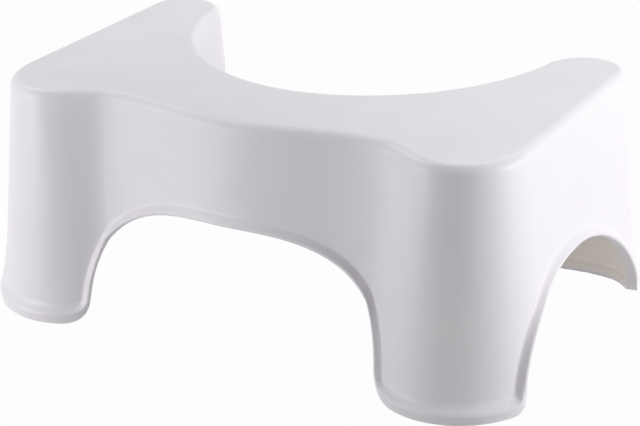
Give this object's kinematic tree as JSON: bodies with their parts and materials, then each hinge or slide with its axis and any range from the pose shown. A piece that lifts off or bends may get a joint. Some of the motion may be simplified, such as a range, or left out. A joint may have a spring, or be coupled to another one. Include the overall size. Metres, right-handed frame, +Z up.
{
  "type": "toilet footstool",
  "caption": "One-piece moulded plastic footstool with a deep U-shaped bay at the rear that fits round a toilet, arched openings between its flared feet and non-slip pads.",
  "frame": {"origin": "middle of the footprint, on the floor", "axes": "+X to the right as seen from the front, +Y to the rear where the bay opens, +Z up"},
  "size_m": [0.4518, 0.2794, 0.177],
  "materials": {
    "polypropylene": "satin, as moulded",
    "rubber": "matt"
  },
  "bodies": {
    "root": {"stool_shell": "polypropylene", "pad_front_right_a": "rubber", "pad_front_right_b": "rubber", "pad_front_left_a": "rubber", "pad_front_left_b": "rubber", "pad_rear_right_a": "rubber", "pad_rear_right_b": "rubber", "pad_rear_left_a": "rubber", "pad_rear_left_b": "rubber"}
  },
  "joints": []
}
